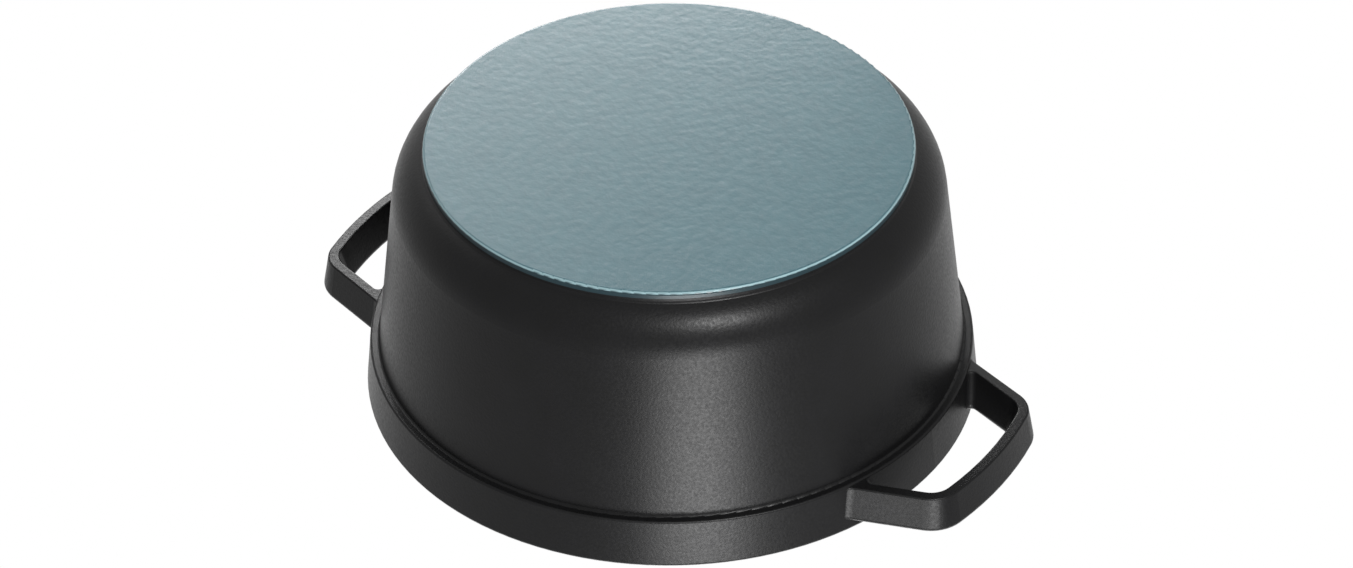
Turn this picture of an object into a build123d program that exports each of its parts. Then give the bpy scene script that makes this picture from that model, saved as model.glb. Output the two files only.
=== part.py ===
from build123d import *
import os
from math import cos, hypot, radians, sqrt, tan

# Cast iron dutch oven: an enamelled pot with two loop handles, and a domed lid with a steel knob.
# Millimetres and degrees, +Z up. The pot stands on z = 0 round the Z axis, and its handles lie along X.

# Pot, outside
rim_radius = 100.0
pot_height = 92.0
band_height = 17.0
band_draft = 5.5
band_step = 3.0
step_round = 0.8
rim_round = 1.2
wall_draft = 6.5
shoulder_level = 2.2
shoulder_radius = 17.5
foot_inset = 8.6
foot_fillet = 0.8

# Pot, inside
wall_thickness = 4.2
floor_thickness = 5.0
floor_corner_radius = 13.0
seat_depth = 5.0
lip_thickness = 3.8
seat_round = 0.6

# Enamel coat on the foot
enamel_thickness = 0.5
enamel_wrap = 2.2
enamel_edge_radius = 1.0

# Loop handles, cast in one with the rim band
grip_reach = 22.6
arm_half_width = 35.1
arm_taper = 18.6
bar_thickness = 3.5
bar_outer_draft = 10.0
bar_inner_draft = 17.5
handle_drop = 3.8
handle_rise = 0.9
corner_radius = 11.0
root_fillet = 4.5
inner_root_fillet = 2.0
root_overlap = 0.2
low_edge_radius = 0.6
grip_edge_radius = 1.6

# Lid
lid_clearance = 0.6
flange_thickness = 4.4
flange_width = 6.0
flange_round = 1.0
dome_rise = 18.0
dome_fillet = 5.0
lid_thickness = 4.0
ring_clearance = 1.0
ring_thickness = 3.0
ring_depth = 4.0
boss_radius = 12.5
boss_height = 1.5
under_boss_radius = 8.5
under_boss_height = 1.2

# Basting studs under the lid, in rings
stud_ring_radii = (26.0, 46.0, 66.0)
stud_ring_counts = (6, 12, 18)
stud_radius = 3.2
stud_tip_radius = 1.5
stud_length = 3.6
stud_root = 1.6

# Knob and its fastening
knob_height = 27.0
knob_foot_radius = 9.5
knob_foot_height = 2.5
knob_neck_radius = 7.0
knob_neck_rise = 5.5
knob_head_radius = 19.0
knob_head_height = 6.0
knob_crown = 4.0
knob_round = 2.0
gasket_thickness = 1.2
gasket_overhang = 0.5
screw_radius = 2.5
screw_hole_clearance = 0.4
thread_clearance = 0.1
screw_engagement = 12.0
bore_end_gap = 3.0
screw_head_radius = 4.6
screw_head_height = 3.0
screw_head_round = 1.2
drive_slot_width = 1.3
drive_slot_depth = 1.5
washer_radius = 6.0
washer_thickness = 1.0

# How near a radius has to be for an edge or corner to be picked by it
pick_tolerance = 0.01

# Levels and radii that follow from the sizes above
band_level = pot_height - band_height
band_low_radius = rim_radius - band_height * tan(radians(band_draft))
wall_top_radius = band_low_radius - band_step
seat_level = pot_height - seat_depth
seat_radius = rim_radius - lip_thickness


def wall_radius(level):
    """Outer radius of the drafted wall, carried on past its ends, at a height."""
    return wall_top_radius - (band_level - level) * tan(radians(wall_draft))


def inside_radius(level):
    """Inner radius of the drafted wall at a height."""
    return wall_radius(level) - wall_thickness / cos(radians(wall_draft))


def ring_edges(builder, radius):
    """Edges of a turned piece that run round it at a radius."""
    level_circles = builder.edges().filter_by(GeomType.CIRCLE).filter_by(Plane.XY)
    return level_circles.filter_by(lambda e: abs(e.radius - radius) < pick_tolerance)


shoulder_corner = wall_radius(shoulder_level)
foot_radius = shoulder_corner - foot_inset

# Both handles stand on a cone that the rim band swallows, so that their roots run out into the band
handle_level = band_level + handle_rise
handle_top = pot_height - handle_drop
bar_height = handle_top - handle_level


def root_radius(level):
    """Radius of the cone under the rim band's outer face at a height."""
    return rim_radius - (pot_height - level) * tan(radians(band_draft)) - root_overlap


def loop_plan(inset, rounding):
    """Low outer edge of one handle, moved in by inset: two tapered arms closed by an arc about the pot."""
    slope = tan(radians(arm_taper))
    spread = arm_half_width - inset / cos(radians(arm_taper)) + slope * rim_radius
    reach = rim_radius + grip_reach - inset
    steepness = 1 + slope**2
    end_x = (spread * slope + sqrt(steepness * reach**2 - spread**2)) / steepness
    end_y = spread - slope * end_x
    start_x = rim_radius / 2
    start_y = spread - slope * start_x
    with BuildSketch() as plan:
        with BuildLine():
            Line((start_x, start_y), (start_x, -start_y))
            Line((start_x, -start_y), (end_x, -end_y))
            ThreePointArc((end_x, -end_y), (reach, 0), (end_x, end_y))
            Line((end_x, end_y), (start_x, start_y))
        make_face()
        fillet(plan.vertices().sort_by(Axis.X)[-2:], rounding)
    return plan.sketch


# The bars are drafted on both sides and thin below, as cast
with BuildPart() as handles:
    with BuildSketch(Plane.XY.offset(handle_level)):
        with PolarLocations(0, 2):
            add(loop_plan(0, corner_radius))
    extrude(amount=bar_height, taper=-bar_outer_draft)
    with BuildSketch(Plane.XY.offset(handle_level)):
        with PolarLocations(0, 2):
            add(loop_plan(bar_thickness, corner_radius - bar_thickness))
    extrude(amount=bar_height, taper=bar_inner_draft, mode=Mode.SUBTRACT)
    with BuildSketch(Plane.XZ):
        with BuildLine():
            Polyline(
                (0, handle_level),
                (root_radius(handle_level), handle_level),
                (root_radius(handle_top), handle_top),
                (0, handle_top),
                close=True,
            )
        make_face()
    revolve(axis=Axis.Z)
    root_edges = handles.edges().filter_by(
        lambda e: e.bounding_box().size.Z > bar_height / 2
        and hypot(e.center().X, e.center().Y) < rim_radius
        and abs(e.center().Y) > bar_thickness
    )
    root_split = arm_half_width - bar_thickness / 2
    fillet(root_edges.filter_by(lambda e: abs(e.center().Y) > root_split), root_fillet)
    fillet(root_edges.filter_by(lambda e: abs(e.center().Y) < root_split), inner_root_fillet)
    fillet(handles.edges().group_by(Axis.Z)[0], low_edge_radius)
    fillet(handles.edges().group_by(Axis.Z)[-1], grip_edge_radius)

# Pot: turned outside, with foot and handles, then hollowed
with BuildPart() as pot:
    with BuildSketch(Plane.XZ) as outside:
        with BuildLine():
            Polyline(
                (0, shoulder_level),
                (shoulder_corner, shoulder_level),
                (wall_top_radius, band_level),
                (band_low_radius, band_level),
                (rim_radius, pot_height),
                (0, pot_height),
                close=True,
            )
        make_face()
        fillet(outside.vertices().sort_by_distance((shoulder_corner, shoulder_level))[0], shoulder_radius)
        fillet(outside.vertices().sort_by_distance((wall_top_radius, band_level))[0], step_round)
        fillet(outside.vertices().sort_by_distance((band_low_radius, band_level))[0], step_round)
    revolve(axis=Axis.Z)
    with BuildSketch(Plane.XY.offset(enamel_wrap)):
        Circle(foot_radius)
    extrude(amount=floor_thickness - enamel_wrap)
    fillet(ring_edges(pot, foot_radius).sort_by(Axis.Z)[-1], foot_fillet)
    with BuildSketch(Plane.XY.offset(enamel_thickness)):
        Circle(foot_radius - enamel_thickness)
    extrude(amount=enamel_wrap - enamel_thickness)
    add(handles.part)
    with BuildSketch(Plane.XZ) as cavity:
        with BuildLine():
            Polyline(
                (0, floor_thickness),
                (inside_radius(floor_thickness), floor_thickness),
                (inside_radius(seat_level), seat_level),
                (seat_radius, seat_level),
                (seat_radius, pot_height),
                (0, pot_height),
                close=True,
            )
        make_face()
        floor_corner = (inside_radius(floor_thickness), floor_thickness)
        fillet(cavity.vertices().sort_by_distance(floor_corner)[0], floor_corner_radius)
        seat_corner = (inside_radius(seat_level), seat_level)
        fillet(cavity.vertices().sort_by_distance(seat_corner)[0], seat_round)
    revolve(axis=Axis.Z, mode=Mode.SUBTRACT)
    fillet(pot.edges().group_by(Axis.Z)[-1], rim_round)

# Enamel coat: a shallow cup fired onto the foot
with BuildPart() as base_enamel:
    with BuildSketch():
        Circle(foot_radius)
    extrude(amount=enamel_wrap)
    fillet(base_enamel.edges().group_by(Axis.Z)[0], enamel_edge_radius)
    with BuildSketch(Plane.XY.offset(enamel_thickness)):
        Circle(foot_radius - enamel_thickness)
    extrude(amount=enamel_wrap - enamel_thickness, mode=Mode.SUBTRACT)

# Lid levels: the flange lies on the seat, and the dome is a shell between two concentric spheres
flange_radius = seat_radius - lid_clearance
flange_top = seat_level + flange_thickness
dome_foot_radius = flange_radius - flange_width
dome_top = flange_top + dome_rise
dome_radius = (dome_foot_radius**2 + dome_rise**2) / (2 * dome_rise)
ring_radius = inside_radius(seat_level) - ring_clearance
ring_inner_radius = ring_radius - ring_thickness
ring_bottom = seat_level - ring_depth
boss_top = dome_top + boss_height
under_boss_level = dome_top - lid_thickness - under_boss_height
screw_hole_radius = screw_radius + screw_hole_clearance


def dome_level(radius, depth):
    """Height of the dome at a radius, at a depth under its outer face."""
    return dome_top - dome_radius + sqrt((dome_radius - depth) ** 2 - radius**2)


stud_tip_level = stud_tip_radius - stud_length
stud_tip_middle = stud_tip_radius * cos(radians(45))
with BuildPart() as stud:
    with BuildSketch(Plane.XZ):
        with BuildLine():
            Polyline(
                (0, -stud_length),
                (0, stud_root),
                (stud_radius, stud_root),
                (stud_radius, 0),
                (stud_tip_radius, stud_tip_level),
            )
            ThreePointArc(
                (stud_tip_radius, stud_tip_level),
                (stud_tip_middle, stud_tip_level - stud_tip_middle),
                (0, -stud_length),
            )
        make_face()
    revolve(axis=Axis.Z)

with BuildPart() as lid:
    with BuildSketch(Plane.XZ) as section:
        with BuildLine():
            Line((0, dome_level(0, lid_thickness)), (0, dome_top))
            ThreePointArc(
                (0, dome_top),
                (dome_foot_radius / 2, dome_level(dome_foot_radius / 2, 0)),
                (dome_foot_radius, flange_top),
            )
            Polyline(
                (dome_foot_radius, flange_top),
                (flange_radius, flange_top),
                (flange_radius, seat_level),
                (ring_radius, seat_level),
                (ring_radius, ring_bottom),
                (ring_inner_radius, ring_bottom),
                (ring_inner_radius, dome_level(ring_inner_radius, lid_thickness)),
            )
            ThreePointArc(
                (ring_inner_radius, dome_level(ring_inner_radius, lid_thickness)),
                (ring_inner_radius / 2, dome_level(ring_inner_radius / 2, lid_thickness)),
                (0, dome_level(0, lid_thickness)),
            )
        make_face()
        fillet(section.vertices().sort_by_distance((dome_foot_radius, flange_top))[0], dome_fillet)
        fillet(section.vertices().sort_by_distance((flange_radius, flange_top))[0], flange_round)
        fillet(section.vertices().sort_by_distance((ring_radius, ring_bottom))[0], flange_round)
    revolve(axis=Axis.Z)
    with BuildSketch(Plane.XY.offset(under_boss_level)):
        Circle(under_boss_radius)
    extrude(amount=lid_thickness)
    with BuildSketch(Plane.XY.offset(boss_top)):
        Circle(boss_radius)
    extrude(amount=-lid_thickness)
    for ring, count in zip(stud_ring_radii, stud_ring_counts):
        with Locations((0, 0, dome_level(ring, lid_thickness))):
            with PolarLocations(ring, count):
                add(stud.part)
    with Locations((0, 0, boss_top)):
        Hole(screw_hole_radius)

# Knob: turned, with a waisted neck and a low crown
knob_level = boss_top + gasket_thickness
knob_top = knob_level + knob_height
knob_neck_level = knob_level + knob_foot_height + knob_neck_rise
knob_under_head = knob_top - knob_crown - knob_head_height
with BuildPart() as knob:
    with BuildSketch(Plane.XZ):
        with BuildLine():
            Polyline(
                (0, knob_top),
                (0, knob_level),
                (knob_foot_radius, knob_level),
                (knob_foot_radius, knob_level + knob_foot_height),
            )
            ThreePointArc(
                (knob_foot_radius, knob_level + knob_foot_height),
                (knob_neck_radius, knob_neck_level),
                (knob_head_radius, knob_under_head),
            )
            Line((knob_head_radius, knob_under_head), (knob_head_radius, knob_top - knob_crown))
            ThreePointArc(
                (knob_head_radius, knob_top - knob_crown),
                (knob_head_radius / 2, knob_top - knob_crown / 4),
                (0, knob_top),
            )
        make_face()
    revolve(axis=Axis.Z)
    fillet(ring_edges(knob, knob_head_radius), knob_round)
    with BuildSketch(Plane.XY.offset(knob_level)):
        Circle(screw_radius + thread_clearance)
    extrude(amount=screw_engagement + bore_end_gap, mode=Mode.SUBTRACT)

with BuildPart() as knob_gasket:
    with BuildSketch(Plane.XY.offset(boss_top)):
        Circle(knob_foot_radius + gasket_overhang)
        Circle(screw_hole_radius, mode=Mode.SUBTRACT)
    extrude(amount=gasket_thickness)

# Washer and screw, below the lid
screw_seat = under_boss_level - washer_thickness
with BuildPart() as screw_washer:
    with BuildSketch(Plane.XY.offset(screw_seat)):
        Circle(washer_radius)
        Circle(screw_hole_radius, mode=Mode.SUBTRACT)
    extrude(amount=washer_thickness)

with BuildPart() as knob_screw:
    with BuildSketch(Plane.XY.offset(screw_seat)):
        Circle(screw_head_radius)
    extrude(amount=-screw_head_height)
    fillet(knob_screw.edges().group_by(Axis.Z)[0], screw_head_round)
    with BuildSketch(Plane.XY.offset(screw_seat)):
        Circle(screw_radius)
    extrude(amount=knob_level + screw_engagement - screw_seat)
    with BuildSketch(Plane.XY.offset(screw_seat - screw_head_height)):
        Rectangle(2 * screw_head_radius, drive_slot_width)
    extrude(amount=drive_slot_depth, mode=Mode.SUBTRACT)

os.makedirs("parts", exist_ok=True)
pieces = {
    "pot": pot,
    "base_enamel": base_enamel,
    "lid": lid,
    "knob": knob,
    "knob_gasket": knob_gasket,
    "screw_washer": screw_washer,
    "knob_screw": knob_screw,
}
for name, piece in pieces.items():
    piece.part.label = name
    export_step(piece.part, f"parts/{name}.step")
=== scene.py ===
"""Looks of a cast iron dutch oven: enamel and steel finishes, a lid with basting studs, and a studio."""
import logging
import math
from dataclasses import dataclass, field
from enum import Enum

import bpy
from mathutils import Matrix, Vector


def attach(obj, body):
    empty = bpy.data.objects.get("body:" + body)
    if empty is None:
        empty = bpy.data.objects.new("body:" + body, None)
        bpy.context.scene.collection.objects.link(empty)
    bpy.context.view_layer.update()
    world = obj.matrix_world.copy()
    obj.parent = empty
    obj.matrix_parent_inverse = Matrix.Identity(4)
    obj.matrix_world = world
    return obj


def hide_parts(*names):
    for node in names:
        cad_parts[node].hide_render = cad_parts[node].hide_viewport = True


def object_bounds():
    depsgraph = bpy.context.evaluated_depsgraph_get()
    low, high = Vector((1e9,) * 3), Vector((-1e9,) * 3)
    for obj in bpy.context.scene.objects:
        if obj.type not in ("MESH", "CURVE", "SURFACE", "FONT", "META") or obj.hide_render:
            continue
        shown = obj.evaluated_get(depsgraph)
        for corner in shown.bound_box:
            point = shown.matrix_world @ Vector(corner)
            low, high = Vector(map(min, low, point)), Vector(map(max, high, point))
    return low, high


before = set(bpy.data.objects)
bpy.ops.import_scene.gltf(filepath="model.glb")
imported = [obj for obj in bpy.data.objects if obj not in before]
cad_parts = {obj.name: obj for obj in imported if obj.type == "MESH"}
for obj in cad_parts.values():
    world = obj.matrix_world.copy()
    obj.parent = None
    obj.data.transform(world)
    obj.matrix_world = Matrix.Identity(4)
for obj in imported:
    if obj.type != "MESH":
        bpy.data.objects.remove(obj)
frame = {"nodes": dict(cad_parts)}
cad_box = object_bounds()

log = logging.getLogger("dutch_oven")

MM = 0.001
WHITE = (1.0, 1.0, 1.0, 1.0)
# Parts of a vector across and along the Z axis
ACROSS = (1, 1, 0)
ALONG = (0, 0, 1)
# Sockets of a Mix node, which go by number because they share their names
MIX_SHARE = 0
MIX_FLOATS = (2, 3)
MIX_COLOURS = (6, 7)
MIXED_COLOUR = 2
# Range in which nearly all values of a noise texture lie
NOISE_RANGE = (0.3, 0.7)
# Octaves of a noise texture, from plain swells to broken clouds
SWELL_DETAIL = 1.0
GRAIN_DETAIL = 2.0
CLOUD_DETAIL = 3.0
# CAD nodes that are turned round Z, apart from the pot's handles, and the shortest edge they keep, in mm
TURNED_NODES = ("pot", "base_enamel", "knob", "knob_gasket", "screw_washer")
SHORTEST_EDGE = 0.00001


class Slot(Enum):
    """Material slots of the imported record."""

    BLACK_ENAMEL = "black_enamelled_iron"
    BASE_ENAMEL = "base_enamel"
    KNOB_STEEL = "knob_steel"
    SILICONE = "silicone"
    FASTENER_STEEL = "fastener_steel"


def linear(hex_colour: str) -> tuple[float, float, float, float]:
    """Turns an sRGB hex colour to linear.

    Args:
        hex_colour: six hex digits after a #.

    Returns:
        Linear red, green, blue and an alpha of 1.
    """
    digits = hex_colour.lstrip("#")
    channels = [int(digits[i : i + 2], 16) / 255 for i in (0, 2, 4)]
    flat = [c / 12.92 if c <= 0.04045 else ((c + 0.055) / 1.055) ** 2.4 for c in channels]
    return (*flat, 1.0)


def per_mm(size: float) -> float:
    """Texture scale at which one feature measures that many millimetres."""
    return 1 / (size * MM)


def per_ring(pitch: float) -> float:
    """Wave texture scale at which one ring measures that many millimetres."""
    return math.pi / (10 * pitch * MM)


def add_node(
    tree: bpy.types.NodeTree,
    kind: str,
    inputs: dict[str | int, object] | None = None,
    **settings: object,
) -> bpy.types.Node:
    """Adds a node with its settings and links.

    Args:
        tree: node tree that takes the node.
        kind: Blender's name of the node type.
        inputs: socket name or number to a value, or to the output socket that feeds it.
        settings: the node's own properties.

    Returns:
        The new node.
    """
    node = tree.nodes.new(kind)
    for name, value in settings.items():
        setattr(node, name, value)
    for key, value in (inputs or {}).items():
        if isinstance(value, bpy.types.NodeSocket):
            tree.links.new(value, node.inputs[key])
        else:
            node.inputs[key].default_value = value
    return node


def true_up(pieces: list[bpy.types.Object], turned_radius: float) -> None:
    """Lines up the normals of turned faces with the Z axis, and drops faces of no size.

    Without this, a seam shows in a highlight where a CAD face closes on itself.

    Args:
        pieces: CAD nodes.
        turned_radius: distance from the axis, in mm, within which all their faces are turned.
    """
    tree = bpy.data.node_groups.new("true_normals", "GeometryNodeTree")
    tree.interface.new_socket("Geometry", in_out="OUTPUT", socket_type="NodeSocketGeometry")
    tree.interface.new_socket("Geometry", in_out="INPUT", socket_type="NodeSocketGeometry")
    reach = tree.interface.new_socket("Turned Radius", in_out="INPUT", socket_type="NodeSocketFloat")
    shortest = tree.interface.new_socket("Shortest Edge", in_out="INPUT", socket_type="NodeSocketFloat")
    given = add_node(tree, "NodeGroupInput").outputs
    place = add_node(tree, "GeometryNodeInputPosition").outputs[0]
    own = add_node(tree, "GeometryNodeInputNormal").outputs["Normal"]
    kept = add_node(tree, "GeometryNodeCaptureAttribute", {"Geometry": given["Geometry"]}, domain="CORNER")
    kept.capture_items.new("VECTOR", "Normal")
    tree.links.new(own, kept.inputs["Normal"])
    normal = kept.outputs["Normal"]
    whole = add_node(
        tree,
        "GeometryNodeMergeByDistance",
        {"Geometry": kept.outputs["Geometry"], "Distance": given["Shortest Edge"]},
        mode="CONNECTED",
    )
    flat = add_node(tree, "ShaderNodeVectorMath", {0: place, 1: ACROSS}, operation="MULTIPLY").outputs[0]
    radius = add_node(tree, "ShaderNodeVectorMath", {0: flat}, operation="LENGTH").outputs["Value"]
    upright = add_node(tree, "ShaderNodeVectorMath", {0: normal, 1: ALONG}, operation="MULTIPLY").outputs[0]
    outward = add_node(tree, "ShaderNodeVectorMath", {0: normal, 1: flat}, operation="PROJECT").outputs[0]
    trued = add_node(tree, "ShaderNodeVectorMath", {0: outward, 1: upright}, operation="ADD").outputs[0]
    unit = add_node(tree, "ShaderNodeVectorMath", {0: trued}, operation="NORMALIZE").outputs[0]
    turned = add_node(
        tree, "FunctionNodeCompare", {0: radius, 1: given["Turned Radius"]}, operation="LESS_THAN"
    )
    chosen = add_node(
        tree,
        "GeometryNodeSwitch",
        {"Switch": turned.outputs[0], "False": normal, "True": unit},
        input_type="VECTOR",
    )
    shaded = add_node(
        tree,
        "GeometryNodeSetMeshNormal",
        {"Mesh": whole.outputs[0], "Custom Normal": chosen.outputs[0]},
        mode="FREE",
        domain="CORNER",
    )
    add_node(tree, "NodeGroupOutput", {0: shaded.outputs[0]})
    for piece in pieces:
        modifier = piece.modifiers.new("true_normals", "NODES")
        modifier.node_group = tree
        modifier[reach.identifier] = turned_radius * MM
        modifier[shortest.identifier] = SHORTEST_EDGE * MM


@dataclass(frozen=True)
class Finish:
    """A named surface finish, whose shader a subclass gives."""

    name: str
    slot: Slot
    colour: str
    roughness: float

    def shade(self, tree: bpy.types.NodeTree, place: bpy.types.NodeSocket) -> dict[str, object]:
        """Builds the pattern nodes.

        Args:
            tree: the material's node tree.
            place: Object coordinates.

        Returns:
            The Principled BSDF's inputs.
        """
        raise NotImplementedError

    def material(self) -> bpy.types.Material:
        """Makes the finish's material, once.

        Returns:
            The material.
        """
        found = bpy.data.materials.get(self.name)
        if found is not None:
            return found
        made = bpy.data.materials.new(self.name)
        made.use_nodes = True
        tree = made.node_tree
        tree.nodes.clear()
        place = add_node(tree, "ShaderNodeTexCoord").outputs["Object"]
        shader = add_node(tree, "ShaderNodeBsdfPrincipled", self.shade(tree, place))
        add_node(tree, "ShaderNodeOutputMaterial", {"Surface": shader.outputs["BSDF"]})
        return made

    def dress(self, piece: bpy.types.Object) -> None:
        """Puts the finish on a piece and reports it.

        Args:
            piece: the piece.
        """
        piece.data.materials.clear()
        piece.data.materials.append(self.material())
        log.info("%s: %s", piece.name, self.name)


@dataclass(frozen=True)
class Enamel(Finish):
    """Vitreous enamel fired on cast iron, which shows the glaze's grain and the casting's waves. In mm."""

    shade_colour: str
    mottle_size: float
    roughness_spread: float
    specular: float
    grain_size: float
    grain_depth: float
    wave_size: float
    wave_depth: float
    # Painted highlight: a pale band on the foot's round edge, between these levels in mm, where the grain
    # bump also fades
    edge_highlight_colour: str = ""
    edge_highlight_levels: tuple[float, float] = (0.0, 0.0)
    # Painted shade: a dark band on the foot's side, along with the coat running thin over the black iron
    side_coat_and_shade_colour: str = ""
    side_coat_and_shade_levels: tuple[float, float] = (0.0, 0.0)

    def shade(self, tree: bpy.types.NodeTree, place: bpy.types.NodeSocket) -> dict[str, object]:
        """Builds mottled colour, uneven gloss, and bump of waves and grain.

        Args:
            tree: the material's node tree.
            place: Object coordinates.

        Returns:
            The Principled BSDF's inputs.
        """
        mottle = add_node(
            tree,
            "ShaderNodeTexNoise",
            {"Vector": place, "Scale": per_mm(self.mottle_size), "Detail": CLOUD_DETAIL},
        )
        wave = add_node(
            tree,
            "ShaderNodeTexNoise",
            {"Vector": place, "Scale": per_mm(self.wave_size), "Detail": SWELL_DETAIL},
        )
        grain = add_node(
            tree,
            "ShaderNodeTexNoise",
            {"Vector": place, "Scale": per_mm(self.grain_size), "Detail": GRAIN_DETAIL},
        )
        colour = add_node(
            tree,
            "ShaderNodeMix",
            {
                MIX_SHARE: mottle.outputs["Fac"],
                MIX_COLOURS[0]: linear(self.colour),
                MIX_COLOURS[1]: linear(self.shade_colour),
            },
            data_type="RGBA",
        ).outputs[MIXED_COLOUR]
        strength: float | bpy.types.NodeSocket = 1.0
        # Painted highlight: the pale band on the foot's round edge, over which the grain bump fades out
        if self.edge_highlight_colour:
            colour = self.banded(tree, place, colour, self.edge_highlight_colour, self.edge_highlight_levels)
            strength = self.share(tree, place, self.edge_highlight_levels, (1.0, 0.0))
        # Painted shade on the foot's side, along with the coat running thin over the black iron
        if self.side_coat_and_shade_colour:
            colour = self.banded(tree, place, colour, self.side_coat_and_shade_colour, self.side_coat_and_shade_levels)
        gloss = add_node(
            tree,
            "ShaderNodeMapRange",
            {
                "Value": grain.outputs["Fac"],
                "From Min": NOISE_RANGE[0],
                "From Max": NOISE_RANGE[1],
                "To Min": self.roughness - self.roughness_spread,
                "To Max": self.roughness + self.roughness_spread,
            },
        )
        waves = add_node(
            tree,
            "ShaderNodeBump",
            {"Height": wave.outputs["Fac"], "Distance": self.wave_depth * MM, "Strength": 1.0},
        )
        grains = add_node(
            tree,
            "ShaderNodeBump",
            {
                "Height": grain.outputs["Fac"],
                "Distance": self.grain_depth * MM,
                "Strength": strength,
                "Normal": waves.outputs["Normal"],
            },
        )
        return {
            "Base Color": colour,
            "Roughness": gloss.outputs["Result"],
            "Specular IOR Level": self.specular,
            "Normal": grains.outputs["Normal"],
        }

    def banded(
        self,
        tree: bpy.types.NodeTree,
        place: bpy.types.NodeSocket,
        colour: bpy.types.NodeSocket,
        above: str,
        levels: tuple[float, float],
    ) -> bpy.types.NodeSocket:
        """Changes the colour above a level, which paints a highlight band on the foot's round edge and a
        shade band on its side, where the coat also runs thin.

        Args:
            tree: the material's node tree.
            place: Object coordinates.
            colour: the colour below.
            above: the colour above.
            levels: where the change starts and ends, in mm.

        Returns:
            The colour with its change.
        """
        share = self.share(tree, place, levels, (0.0, 1.0))
        mix = add_node(
            tree,
            "ShaderNodeMix",
            {MIX_SHARE: share, MIX_COLOURS[0]: colour, MIX_COLOURS[1]: linear(above)},
            data_type="RGBA",
        )
        return mix.outputs[MIXED_COLOUR]

    def share(
        self,
        tree: bpy.types.NodeTree,
        place: bpy.types.NodeSocket,
        levels: tuple[float, float],
        ends: tuple[float, float],
    ) -> bpy.types.NodeSocket:
        """Goes smoothly from one value to another over a range of height.

        Args:
            tree: the material's node tree.
            place: Object coordinates.
            levels: where the change starts and ends, in mm.
            ends: the values below and above it.

        Returns:
            The value's socket.
        """
        height = add_node(tree, "ShaderNodeSeparateXYZ", {0: place}).outputs["Z"]
        change = add_node(
            tree,
            "ShaderNodeMapRange",
            {
                "Value": height,
                "From Min": levels[0] * MM,
                "From Max": levels[1] * MM,
                "To Min": ends[0],
                "To Max": ends[1],
            },
            interpolation_type="SMOOTHSTEP",
        )
        return change.outputs["Result"]


@dataclass(frozen=True)
class TurnedSteel(Finish):
    """Stainless steel turned on a lathe, whose fine rings draw the highlights out round the axis. In mm."""

    ring_pitch: float
    ring_depth: float
    smear_size: float
    smear_spread: float
    ring_wobble: float = 0.4

    def shade(self, tree: bpy.types.NodeTree, place: bpy.types.NodeSocket) -> dict[str, object]:
        """Builds tool rings round Z that wobble a little, and smeared gloss.

        Args:
            tree: the material's node tree.
            place: Object coordinates.

        Returns:
            The Principled BSDF's inputs.
        """
        rings = add_node(
            tree,
            "ShaderNodeTexWave",
            {
                "Vector": place,
                "Scale": per_ring(self.ring_pitch),
                "Distortion": self.ring_wobble,
                "Detail": SWELL_DETAIL,
            },
            wave_type="RINGS",
            rings_direction="Z",
        )
        smear = add_node(
            tree,
            "ShaderNodeTexNoise",
            {"Vector": place, "Scale": per_mm(self.smear_size), "Detail": CLOUD_DETAIL},
        )
        gloss = add_node(
            tree,
            "ShaderNodeMapRange",
            {
                "Value": smear.outputs["Fac"],
                "From Min": NOISE_RANGE[0],
                "From Max": NOISE_RANGE[1],
                "To Min": self.roughness - self.smear_spread,
                "To Max": self.roughness + self.smear_spread,
            },
        )
        bump = add_node(
            tree,
            "ShaderNodeBump",
            {"Height": rings.outputs["Fac"], "Distance": self.ring_depth * MM, "Strength": 1.0},
        )
        return {
            "Base Color": linear(self.colour),
            "Metallic": 1.0,
            "Roughness": gloss.outputs["Result"],
            "Normal": bump.outputs["Normal"],
        }


@dataclass(frozen=True)
class Moulded(Finish):
    """Moulded rubber, dull, with the fine grain of a blasted mould. In mm."""

    grain_size: float
    grain_depth: float
    roughness_spread: float

    def shade(self, tree: bpy.types.NodeTree, place: bpy.types.NodeSocket) -> dict[str, object]:
        """Builds the mould's grain as bump and as uneven gloss.

        Args:
            tree: the material's node tree.
            place: Object coordinates.

        Returns:
            The Principled BSDF's inputs.
        """
        grain = add_node(
            tree,
            "ShaderNodeTexNoise",
            {"Vector": place, "Scale": per_mm(self.grain_size), "Detail": GRAIN_DETAIL},
        )
        gloss = add_node(
            tree,
            "ShaderNodeMapRange",
            {
                "Value": grain.outputs["Fac"],
                "To Min": self.roughness - self.roughness_spread,
                "To Max": self.roughness + self.roughness_spread,
            },
        )
        bump = add_node(
            tree,
            "ShaderNodeBump",
            {"Height": grain.outputs["Fac"], "Distance": self.grain_depth * MM, "Strength": 1.0},
        )
        return {
            "Base Color": linear(self.colour),
            "Roughness": gloss.outputs["Result"],
            "Normal": bump.outputs["Normal"],
        }


# Matte black enamel: dull and near black, with a fine grain that sparkles a little in the highlights
BLACK_ENAMEL = Enamel(
    name="matte_black_enamel",
    slot=Slot.BLACK_ENAMEL,
    colour="#0b0b0b",
    roughness=0.37,
    shade_colour="#101011",
    mottle_size=14.0,
    roughness_spread=0.06,
    specular=0.11,
    grain_size=0.9,
    grain_depth=0.05,
    wave_size=28.0,
    wave_depth=0.12,
)
# Blue-grey enamel: smooth glaze with an orange peel; the pale band on the foot's round edge is a painted
# highlight, and the dark band on its side is painted shade along with the coat running thin there
BASE_ENAMEL = Enamel(
    name="blue_grey_enamel",
    slot=Slot.BASE_ENAMEL,
    colour="#3f5d64",
    roughness=0.31,
    shade_colour="#3a545b",
    mottle_size=11.0,
    roughness_spread=0.025,
    specular=0.2,
    grain_size=3.2,
    grain_depth=0.1,
    wave_size=26.0,
    wave_depth=0.05,
    edge_highlight_colour="#7b9499",
    edge_highlight_levels=(0.04, 0.25),
    side_coat_and_shade_colour="#15252a",
    side_coat_and_shade_levels=(0.38, 0.8),
)
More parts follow.
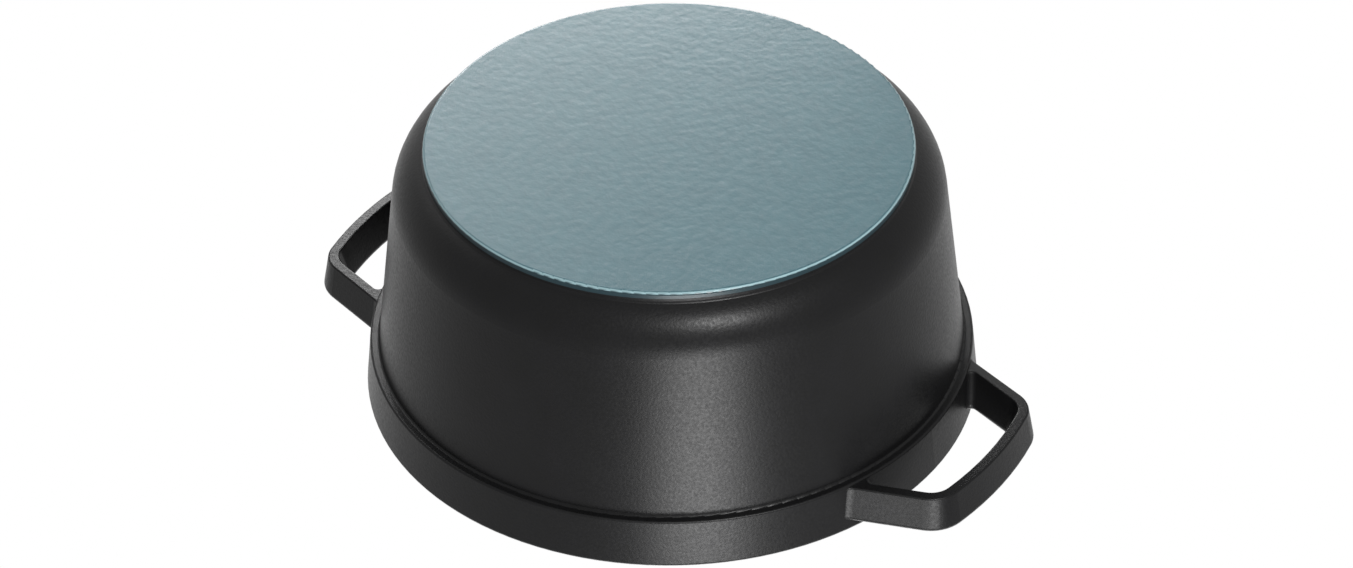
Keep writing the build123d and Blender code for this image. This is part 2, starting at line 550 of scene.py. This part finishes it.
# Turned stainless steel: grey metal with tool rings, drawn at 0.8 mm because real ones are too fine to show
KNOB_STEEL = TurnedSteel(
    name="turned_stainless_steel",
    slot=Slot.KNOB_STEEL,
    colour="#a09f9c",
    roughness=0.34,
    ring_pitch=0.8,
    ring_depth=0.004,
    smear_size=5.0,
    smear_spread=0.05,
)
# Silicone rubber: dull black, with a fine mould grain
SILICONE = Moulded(
    name="moulded_silicone_rubber",
    slot=Slot.SILICONE,
    colour="#1e1e1e",
    roughness=0.7,
    grain_size=0.5,
    grain_depth=0.02,
    roughness_spread=0.1,
)
# Bar-turned stainless steel of screws: plain grey metal with fainter rings, drawn coarser than they are
FASTENER_STEEL = TurnedSteel(
    name="bright_stainless_steel",
    slot=Slot.FASTENER_STEEL,
    colour="#9a9a9c",
    roughness=0.35,
    ring_pitch=0.6,
    ring_depth=0.003,
    smear_size=3.0,
    smear_spread=0.06,
)


@dataclass(frozen=True)
class Corner:
    """A corner of a turned section, in mm: radius from the axis, level, and rounding."""

    radius: float
    level: float
    rounding: float = 0.0


@dataclass
class Turned:
    """A section turned round the Z axis, either a closed loop or a line between two points of the axis.

    Its points go down the inside and up the outside.
    """

    corners: list[Corner]
    segments: int
    arc_steps: int = 6
    closed: bool = True
    sharp_angle: float = 40.0

    def rounded(self) -> list[tuple[float, float]]:
        """Rounds the section's corners.

        Returns:
            The section's points, as radius and level in mm.
        """
        points: list[tuple[float, float]] = []
        count = len(self.corners)
        for index, corner in enumerate(self.corners):
            here = Vector((corner.radius, corner.level))
            if not corner.rounding:
                points.append((here.x, here.y))
                continue
            before = self.corners[index - 1]
            after = self.corners[(index + 1) % count]
            inward = (Vector((before.radius, before.level)) - here).normalized()
            outward = (Vector((after.radius, after.level)) - here).normalized()
            half = inward.angle(outward) / 2
            middle = here + (inward + outward).normalized() * corner.rounding / math.sin(half)
            start = here + inward * corner.rounding / math.tan(half) - middle
            end = here + outward * corner.rounding / math.tan(half) - middle
            for step in range(self.arc_steps + 1):
                arm = start.slerp(end, step / self.arc_steps) * corner.rounding
                points.append((middle.x + arm.x, middle.y + arm.y))
        return points

    def mesh(self, name: str) -> bpy.types.Mesh:
        """Turns the section to a mesh in metres.

        Args:
            name: the mesh's name.

        Returns:
            A mesh with outward faces and smooth shading.
        """
        vertices: list[tuple[float, float, float]] = []
        rings: list[list[int]] = []
        for radius, level in self.rounded():
            if radius == 0:
                rings.append([len(vertices)] * self.segments)
                vertices.append((0, 0, level * MM))
                continue
            rings.append(list(range(len(vertices), len(vertices) + self.segments)))
            for step in range(self.segments):
                angle = math.tau * step / self.segments
                vertices.append((radius * MM * math.cos(angle), radius * MM * math.sin(angle), level * MM))
        faces: list[list[int]] = []
        for index, ring in enumerate(rings):
            if index == len(rings) - 1 and not self.closed:
                continue
            following = rings[(index + 1) % len(rings)]
            for step in range(self.segments):
                ahead = (step + 1) % self.segments
                corners = [ring[step], ring[ahead], following[ahead], following[step]]
                faces.append(list(dict.fromkeys(corners)))
        mesh = bpy.data.meshes.new(name)
        mesh.from_pydata(vertices, [], faces)
        mesh.update()
        mesh.shade_smooth()
        mesh.set_sharp_from_angle(angle=math.radians(self.sharp_angle))
        return mesh


@dataclass(frozen=True)
class StudRing:
    """One ring of basting studs: its radius in mm and how many studs it has."""

    radius: float
    count: int


@dataclass
class Vessel:
    """The pot with its enamelled base. Within the turned radius, in mm, the pot has no handles."""

    turned_radius: float = 96.0

    def dress(self, nodes: dict[str, bpy.types.Object]) -> None:
        """Finishes the pot's nodes."""
        BLACK_ENAMEL.dress(nodes["pot"])
        BASE_ENAMEL.dress(nodes["base_enamel"])


@dataclass
class Cover:
    """The lid with its basting studs, knob and fastening. In mm, in the row's frame."""

    flange_radius: float = 95.6
    flange_top: float = 91.4
    flange_bottom: float = 87.0
    dome_foot_radius: float = 89.6
    dome_top: float = 109.4
    dome_radius: float = 232.0
    thickness: float = 4.0
    ring_radius: float = 91.5
    ring_inner_radius: float = 88.5
    ring_bottom: float = 83.0
    boss_radius: float = 12.5
    boss_top: float = 110.9
    under_boss_radius: float = 8.5
    under_boss_level: float = 104.2
    hole_radius: float = 2.9
    hole_rounding: float = 0.3
    under_boss_rounding: float = 0.6
    under_boss_fillet: float = 0.5
    ring_fillet: float = 2.5
    ring_inner_rounding: float = 0.8
    ring_rounding: float = 1.0
    seat_fillet: float = 0.8
    seat_rounding: float = 0.5
    flange_rounding: float = 1.0
    dome_foot_fillet: float = 5.0
    boss_fillet: float = 0.8
    boss_rounding: float = 0.5
    casting_segments: int = 192
    stud_radius: float = 3.2
    stud_tip_radius: float = 1.5
    stud_length: float = 3.6
    stud_flare: float = 1.2
    stud_flare_level: float = 0.55
    stud_sink: float = 0.4
    stud_tip_angles: tuple[float, float] = (60.0, 30.0)
    stud_segments: int = 24
    stud_rings: list[StudRing] = field(
        default_factory=lambda: [StudRing(26.0, 6), StudRing(46.0, 12), StudRing(66.0, 18)]
    )

    def dome_level(self, radius: float, depth: float) -> float:
        """Height of the dome at a radius, at a depth under its outer face."""
        return self.dome_top - self.dome_radius + math.sqrt((self.dome_radius - depth) ** 2 - radius**2)

    def dome_points(self, start: float, end: float, depth: float, steps: int = 26) -> list[Corner]:
        """Points of a dome face between two radii, without its ends."""
        radii = [start + (end - start) * step / steps for step in range(1, steps)]
        return [Corner(radius, self.dome_level(radius, depth)) for radius in radii]

    def casting(self) -> Turned:
        """Draws the lid's casting: boss, dome, flange, locating ring and under boss, with cast fillets.

        Returns:
            The casting's section.
        """
        inner = self.thickness
        under_boss_root = self.dome_level(self.under_boss_radius, inner)
        ring_root = self.dome_level(self.ring_inner_radius, inner)
        boss_root = self.dome_level(self.boss_radius, 0.0)
        return Turned(
            [
                Corner(self.hole_radius, self.boss_top, self.hole_rounding),
                Corner(self.hole_radius, self.under_boss_level, self.hole_rounding),
                Corner(self.under_boss_radius, self.under_boss_level, self.under_boss_rounding),
                Corner(self.under_boss_radius, under_boss_root, self.under_boss_fillet),
                *self.dome_points(self.under_boss_radius, self.ring_inner_radius, inner),
                Corner(self.ring_inner_radius, ring_root, self.ring_fillet),
                Corner(self.ring_inner_radius, self.ring_bottom, self.ring_inner_rounding),
                Corner(self.ring_radius, self.ring_bottom, self.ring_rounding),
                Corner(self.ring_radius, self.flange_bottom, self.seat_fillet),
                Corner(self.flange_radius, self.flange_bottom, self.seat_rounding),
                Corner(self.flange_radius, self.flange_top, self.flange_rounding),
                Corner(self.dome_foot_radius, self.flange_top, self.dome_foot_fillet),
                *self.dome_points(self.dome_foot_radius, self.boss_radius, 0.0),
                Corner(self.boss_radius, boss_root, self.boss_fillet),
                Corner(self.boss_radius, self.boss_top, self.boss_rounding),
            ],
            segments=self.casting_segments,
        )

    def stud(self) -> Turned:
        """Draws one basting stud, from its round tip up to its flared root and into the lid above level 0.

        Returns:
            The stud's section.
        """
        tip_level = self.stud_tip_radius - self.stud_length
        tip = [
            Corner(
                self.stud_tip_radius * math.cos(math.radians(angle)),
                tip_level - self.stud_tip_radius * math.sin(math.radians(angle)),
            )
            for angle in self.stud_tip_angles
        ]
        return Turned(
            [
                Corner(0, -self.stud_length),
                *tip,
                Corner(self.stud_tip_radius, tip_level),
                Corner(self.stud_radius, -self.stud_flare * self.stud_flare_level, self.stud_flare),
                Corner(self.stud_radius + self.stud_flare, 0),
                Corner(self.stud_radius + self.stud_flare, self.stud_sink),
                Corner(0, self.stud_sink),
            ],
            segments=self.stud_segments,
            closed=False,
        )

    def stud_tree(self, stud: bpy.types.Object) -> tuple[bpy.types.NodeTree, dict[str, object]]:
        """Builds the tree that sets rings of studs on the dome's inner face.

        Args:
            stud: one stud, with its root at level 0.

        Returns:
            The node tree, and its inputs by socket identifier.
        """
        tree = bpy.data.node_groups.new("basting_studs", "GeometryNodeTree")
        values: dict[str, object] = {}
        tree.interface.new_socket("Geometry", in_out="OUTPUT", socket_type="NodeSocketGeometry")
        tree.interface.new_socket("Geometry", in_out="INPUT", socket_type="NodeSocketGeometry")
        sizes: list[tuple[str, str, object]] = [
            ("Stud", "NodeSocketObject", stud),
            ("Stud Length", "NodeSocketFloat", self.stud_length * MM),
            ("Dome Radius", "NodeSocketFloat", (self.dome_radius - self.thickness) * MM),
            ("Dome Centre", "NodeSocketFloat", (self.dome_top - self.dome_radius) * MM),
            ("Finish", "NodeSocketMaterial", BLACK_ENAMEL.material()),
        ]
        for number, ring in enumerate(self.stud_rings, 1):
            sizes.append((f"Ring {number} Radius", "NodeSocketFloat", ring.radius * MM))
            sizes.append((f"Ring {number} Count", "NodeSocketInt", ring.count))
        for name, kind, value in sizes:
            socket = tree.interface.new_socket(name, in_out="INPUT", socket_type=kind)
            values[socket.identifier] = value
        given = add_node(tree, "NodeGroupInput").outputs
        shape = add_node(tree, "GeometryNodeObjectInfo", {"Object": given["Stud"]})
        joined = add_node(tree, "GeometryNodeJoinGeometry", {0: given["Geometry"]})
        place = add_node(tree, "GeometryNodeInputPosition").outputs[0]
        flat = add_node(tree, "ShaderNodeVectorMath", {0: place, 1: ACROSS}, operation="MULTIPLY").outputs[0]
        radius = add_node(tree, "ShaderNodeVectorMath", {0: flat}, operation="LENGTH").outputs["Value"]
        own = self.sphere_level(tree, given, radius)
        height = add_node(tree, "ShaderNodeSeparateXYZ", {0: place}).outputs["Z"]
        share = add_node(tree, "ShaderNodeMath", {0: height, 1: given["Stud Length"]}, operation="DIVIDE")
        rooted = add_node(
            tree, "ShaderNodeMath", {0: share.outputs[0], 1: 1.0}, operation="ADD", use_clamp=True
        )
        for number in range(1, len(self.stud_rings) + 1):
            ring_radius = given[f"Ring {number} Radius"]
            circle = add_node(
                tree,
                "GeometryNodeMeshCircle",
                {"Vertices": given[f"Ring {number} Count"], "Radius": ring_radius},
            )
            studs = add_node(
                tree,
                "GeometryNodeInstanceOnPoints",
                {"Points": circle.outputs[0], "Instance": shape.outputs["Geometry"]},
            )
            real = add_node(tree, "GeometryNodeRealizeInstances", {0: studs.outputs[0]})
            middle = self.sphere_level(tree, given, ring_radius)
            level = add_node(
                tree,
                "ShaderNodeMix",
                {MIX_SHARE: rooted.outputs[0], MIX_FLOATS[0]: middle, MIX_FLOATS[1]: own},
                data_type="FLOAT",
            )
            lift = add_node(tree, "ShaderNodeCombineXYZ", {"Z": level.outputs[0]})
            seated = add_node(
                tree, "GeometryNodeSetPosition", {"Geometry": real.outputs[0], "Offset": lift.outputs[0]}
            )
            tree.links.new(seated.outputs[0], joined.inputs[0])
        real = add_node(tree, "GeometryNodeRealizeInstances", {0: joined.outputs[0]})
        dressed = add_node(
            tree, "GeometryNodeSetMaterial", {"Geometry": real.outputs[0], "Material": given["Finish"]}
        )
        add_node(tree, "NodeGroupOutput", {0: dressed.outputs[0]})
        return tree, values

    def sphere_level(
        self, tree: bpy.types.NodeTree, given: bpy.types.NodeOutputs, radius: bpy.types.NodeSocket
    ) -> bpy.types.NodeSocket:
        """Level of the dome's inner face at a radius, in nodes.

        Args:
            tree: the stud tree.
            given: the group's inputs.
            radius: distance from the axis.

        Returns:
            The level's socket.
        """
        square = add_node(tree, "ShaderNodeMath", {0: radius, 1: radius}, operation="MULTIPLY")
        whole = add_node(
            tree, "ShaderNodeMath", {0: given["Dome Radius"], 1: given["Dome Radius"]}, operation="MULTIPLY"
        )
        rest = add_node(
            tree, "ShaderNodeMath", {0: whole.outputs[0], 1: square.outputs[0]}, operation="SUBTRACT"
        )
        rise = add_node(tree, "ShaderNodeMath", {0: rest.outputs[0]}, operation="SQRT")
        level = add_node(
            tree, "ShaderNodeMath", {0: rise.outputs[0], 1: given["Dome Centre"]}, operation="ADD"
        )
        return level.outputs[0]

    def build(self) -> bpy.types.Object:
        """Builds the lid's casting with its studs, in place of the plain one.

        Returns:
            The lid's object.
        """
        stud = bpy.data.objects.new("stud_pattern", self.stud().mesh("stud_pattern"))
        lid = bpy.data.objects.new("lid_casting", self.casting().mesh("lid_casting"))
        bpy.context.scene.collection.objects.link(stud)
        bpy.context.scene.collection.objects.link(lid)
        tree, values = self.stud_tree(stud)
        modifier = lid.modifiers.new("basting_studs", "NODES")
        modifier.node_group = tree
        for identifier, value in values.items():
            modifier[identifier] = value
        bpy.context.view_layer.update()
        evaluated = lid.evaluated_get(bpy.context.evaluated_depsgraph_get())
        mesh = bpy.data.meshes.new_from_object(evaluated)
        lid.modifiers.remove(modifier)
        lid.data = mesh
        bpy.data.objects.remove(stud)
        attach(lid, "cover")
        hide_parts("lid")
        return lid

    def dress(self, lid: bpy.types.Object, nodes: dict[str, bpy.types.Object]) -> None:
        """Finishes the lid and the nodes on it.

        Args:
            lid: the casting with its studs.
            nodes: the CAD nodes by name.
        """
        BLACK_ENAMEL.dress(lid)
        KNOB_STEEL.dress(nodes["knob"])
        SILICONE.dress(nodes["knob_gasket"])
        FASTENER_STEEL.dress(nodes["screw_washer"])
        FASTENER_STEEL.dress(nodes["knob_screw"])


@dataclass
class Lamp:
    """One soft lamp that faces the pot. Azimuth from +X and elevation are in degrees, sizes in metres."""

    name: str
    azimuth: float
    elevation: float
    width: float
    height: float
    watts: float
    distance: float = 1.1

    def build(self, target: Vector) -> bpy.types.Object:
        """Makes the lamp.

        Args:
            target: the point it faces.

        Returns:
            The lamp's object.
        """
        azimuth = math.radians(self.azimuth)
        elevation = math.radians(self.elevation)
        away = Vector(
            (
                math.cos(elevation) * math.cos(azimuth),
                math.cos(elevation) * math.sin(azimuth),
                math.sin(elevation),
            )
        )
        data = bpy.data.lights.new(self.name, "AREA")
        data.shape = "RECTANGLE"
        data.size = self.width
        data.size_y = self.height
        data.energy = self.watts
        lamp = bpy.data.objects.new(self.name, data)
        lamp.location = target + away * self.distance
        lamp.rotation_euler = (-away).to_track_quat("-Z", "Y").to_euler()
        lamp.visible_camera = False
        bpy.context.scene.collection.objects.link(lamp)
        return lamp


@dataclass
class Studio:
    """Floor, lamps, white surroundings and the photograph's camera. In metres and degrees."""

    floor_reach: float = 2.5
    floor_level: float = -0.4 * MM
    floor_fade: tuple[float, float] = (0.22, 0.75)
    floor_colour: str = "#f2f2f1"
    fill_strength: float = 0.2
    white_strength: float = 1.0
    camera_elevation: float = 37.65
    camera_turn: float = 33.0
    camera_roll: float = 0.77
    camera_distance: float = 1.705
    camera_lens: float = 139.82
    camera_sensor: float = 36.0
    aim_right: float = 1.81 * MM
    aim_level: float = 56.95 * MM
    lamps: list[Lamp] = field(
        default_factory=lambda: [
            Lamp("front_strip", 45, 19, 0.44, 0.42, 13.5),
            Lamp("handle_card", 53, 15.6, 0.08, 0.08, 0.19, 0.234),
            Lamp("front_low", 36, -46, 0.12, 0.12, 14.0),
            Lamp("back_panel", 231, -25, 0.32, 0.12, 3.3, 0.6),
            Lamp("back_left", 207, -42, 0.7, 0.22, 2.9),
            Lamp("key_high", -60, 80, 1.2, 1.2, 8.0),
            Lamp("back_high", 170, 74, 0.9, 0.9, 3.5),
        ]
    )

    def build_world(self) -> None:
        """Makes white surroundings for the camera and for reflections, and a dimmer fill for the rest."""
        world = bpy.data.worlds.new("white_surroundings")
        world.use_nodes = True
        tree = world.node_tree
        tree.nodes.clear()
        path = add_node(tree, "ShaderNodeLightPath")
        shown = add_node(
            tree,
            "ShaderNodeMath",
            {0: path.outputs["Is Camera Ray"], 1: path.outputs["Is Glossy Ray"]},
            operation="MAXIMUM",
        )
        shown = add_node(
            tree,
            "ShaderNodeMath",
            {0: shown.outputs[0], 1: path.outputs["Is Transmission Ray"]},
            operation="MAXIMUM",
        )
        fill = add_node(tree, "ShaderNodeBackground", {"Color": WHITE, "Strength": self.fill_strength})
        white = add_node(tree, "ShaderNodeBackground", {"Color": WHITE, "Strength": self.white_strength})
        mixed = add_node(
            tree,
            "ShaderNodeMixShader",
            {0: shown.outputs[0], 1: fill.outputs[0], 2: white.outputs[0]},
        )
        add_node(tree, "ShaderNodeOutputWorld", {"Surface": mixed.outputs[0]})
        bpy.context.scene.world = world

    def build_floor(self) -> None:
        """Makes a pale floor that shows from above only, and fades to white away from the pot."""
        mesh = bpy.data.meshes.new("floor")
        reach = self.floor_reach
        corners = [(-reach, -reach), (reach, -reach), (reach, reach), (-reach, reach)]
        mesh.from_pydata([(x, y, self.floor_level) for x, y in corners], [], [[0, 1, 2, 3]])
        material = bpy.data.materials.new("pale_floor")
        material.use_nodes = True
        tree = material.node_tree
        tree.nodes.clear()
        place = add_node(tree, "ShaderNodeTexCoord").outputs["Object"]
        away = add_node(tree, "ShaderNodeVectorMath", {0: place}, operation="LENGTH")
        fade = add_node(
            tree,
            "ShaderNodeMapRange",
            {"Value": away.outputs["Value"], "From Min": self.floor_fade[0], "From Max": self.floor_fade[1]},
            interpolation_type="SMOOTHSTEP",
        )
        matte = add_node(tree, "ShaderNodeBsdfDiffuse", {"Color": linear(self.floor_colour)})
        white = add_node(tree, "ShaderNodeEmission", {"Color": WHITE, "Strength": self.white_strength})
        top = add_node(
            tree, "ShaderNodeMixShader", {0: fade.outputs["Result"], 1: matte.outputs[0], 2: white.outputs[0]}
        )
        below = add_node(tree, "ShaderNodeBsdfTransparent")
        side = add_node(tree, "ShaderNodeNewGeometry").outputs["Backfacing"]
        both = add_node(tree, "ShaderNodeMixShader", {0: side, 1: top.outputs[0], 2: below.outputs[0]})
        add_node(tree, "ShaderNodeOutputMaterial", {"Surface": both.outputs[0]})
        mesh.materials.append(material)
        floor = bpy.data.objects.new("floor", mesh)
        bpy.context.scene.collection.objects.link(floor)
        floor.visible_shadow = False
        floor.visible_diffuse = False
        floor.visible_glossy = False
        floor.visible_transmission = False

    def build_camera(self) -> None:
        """Sets the photograph's camera: under the pot, looking up at its base, and turned over."""
        elevation = math.radians(self.camera_elevation)
        turn = math.radians(self.camera_turn)
        roll = math.radians(self.camera_roll)
        right = Vector((math.cos(turn), -math.sin(turn), 0))
        back = Vector(
            (
                math.cos(elevation) * math.sin(turn),
                math.cos(elevation) * math.cos(turn),
                -math.sin(elevation),
            )
        )
        up = back.cross(right)
        rolled_right = math.cos(roll) * right - math.sin(roll) * up
        rolled_up = math.sin(roll) * right + math.cos(roll) * up
        aim = self.aim_right * right + Vector((0, 0, self.aim_level))
        place = aim + self.camera_distance * back
        data = bpy.data.cameras.new("photo_camera")
        data.sensor_width = self.camera_sensor
        data.lens = self.camera_lens
        camera = bpy.data.objects.new("photo_camera", data)
        camera.matrix_world = Matrix(
            (
                (rolled_right.x, rolled_up.x, back.x, place.x),
                (rolled_right.y, rolled_up.y, back.y, place.y),
                (rolled_right.z, rolled_up.z, back.z, place.z),
                (0, 0, 0, 1),
            )
        )
        bpy.context.scene.collection.objects.link(camera)
        bpy.context.scene.camera = camera

    def build(self, centre: Vector) -> None:
        """Builds the whole set.

        Args:
            centre: the object's centre, which the lamps face.
        """
        self.build_world()
        self.build_floor()
        for lamp in self.lamps:
            lamp.build(centre)
        self.build_camera()
        bpy.context.scene.view_settings.view_transform = "Standard"


def main() -> None:
    """Trues up the CAD nodes, builds the lid, dresses every piece and builds the studio."""
    logging.basicConfig(level=logging.INFO, format="%(name)s %(message)s")
    vessel = Vessel()
    true_up([frame["nodes"][name] for name in TURNED_NODES], vessel.turned_radius)
    vessel.dress(frame["nodes"])
    cover = Cover()
    lid = cover.build()
    cover.dress(lid, frame["nodes"])
    Studio().build((cad_box[0] + cad_box[1]) / 2)


if __name__ == "__main__":
    main()
